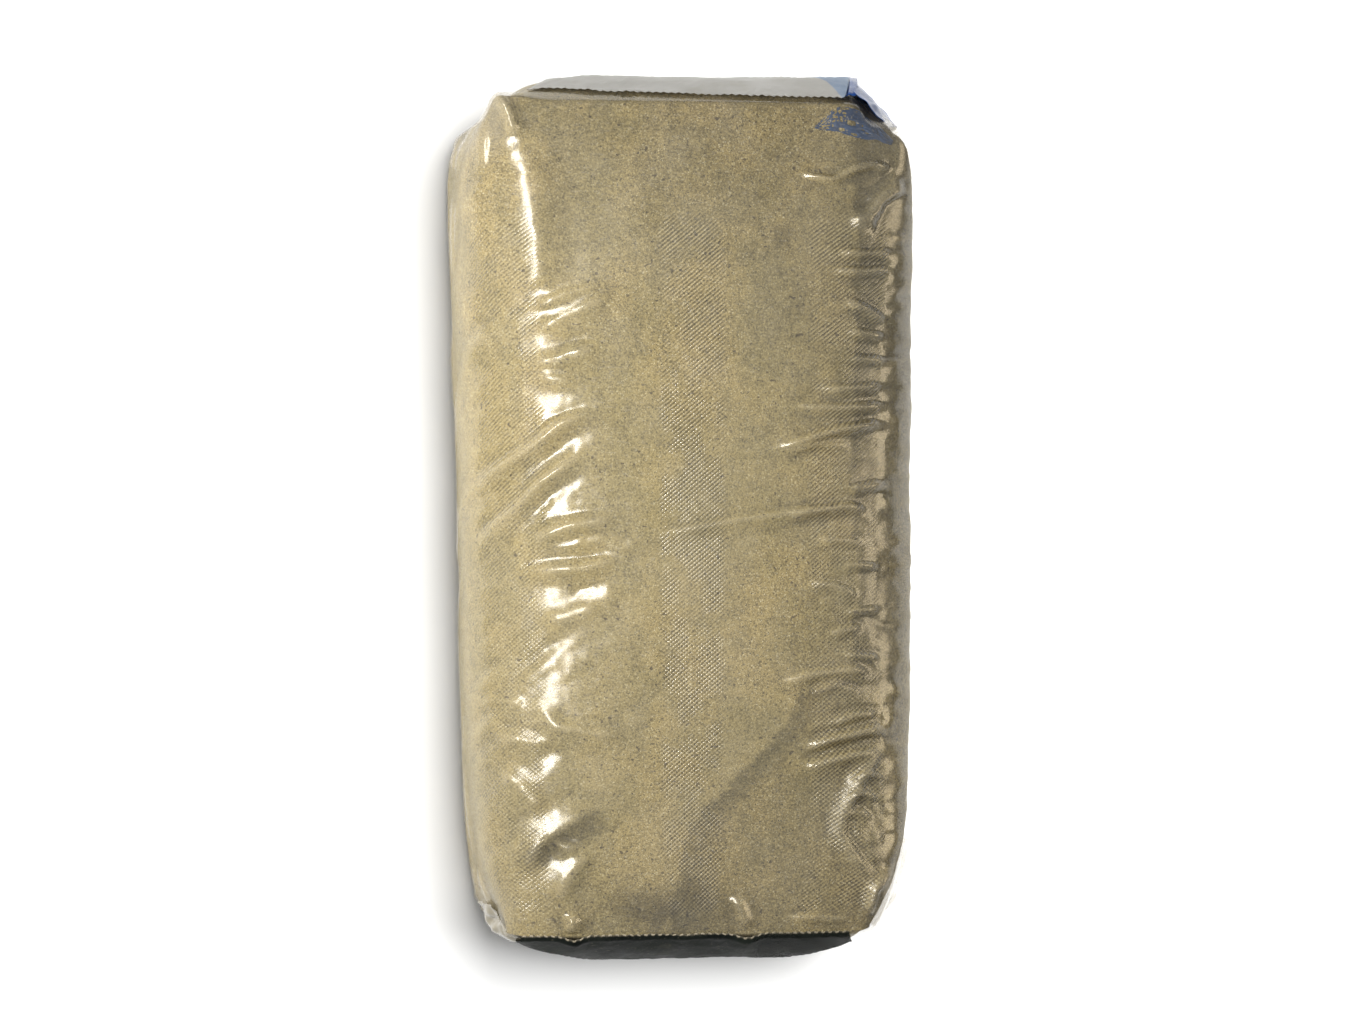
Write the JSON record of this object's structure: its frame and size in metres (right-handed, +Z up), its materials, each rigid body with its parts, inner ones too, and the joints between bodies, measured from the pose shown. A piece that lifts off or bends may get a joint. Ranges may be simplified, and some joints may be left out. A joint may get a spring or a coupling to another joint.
{
  "type": "bag of quartz sand",
  "caption": "Full block-bottom valve sack of clear film, lying on its back, packed tight with fine quartz sand that shows through it",
  "frame": {"origin": "on the floor, below the middle of the sack's outline seen from above", "axes": "+Y along the sack's length towards its valve end, +X across its width, +Z up through its thickness"},
  "size_m": [0.2721, 0.5237, 0.1455],
  "materials": {
    "clear_film": "clear glossy polyethylene with lengthwise bands of small embossed diamonds",
    "quartz_sand": "fine dry grains, pale brown with dark and light specks",
    "white_film": "milky white translucent film, faintly stained by sand dust",
    "smoky_film": "dark grey-green film, a little glossy",
    "blue_film": "blue film, crinkled and a little glossy"
  },
  "bodies": {
    "root": {"film_sack": "clear_film", "sand_fill": "quartz_sand", "top_cover_sheet": "white_film", "foot_cover_sheet": "smoky_film", "valve_sleeve": "blue_film"}
  },
  "joints": []
}
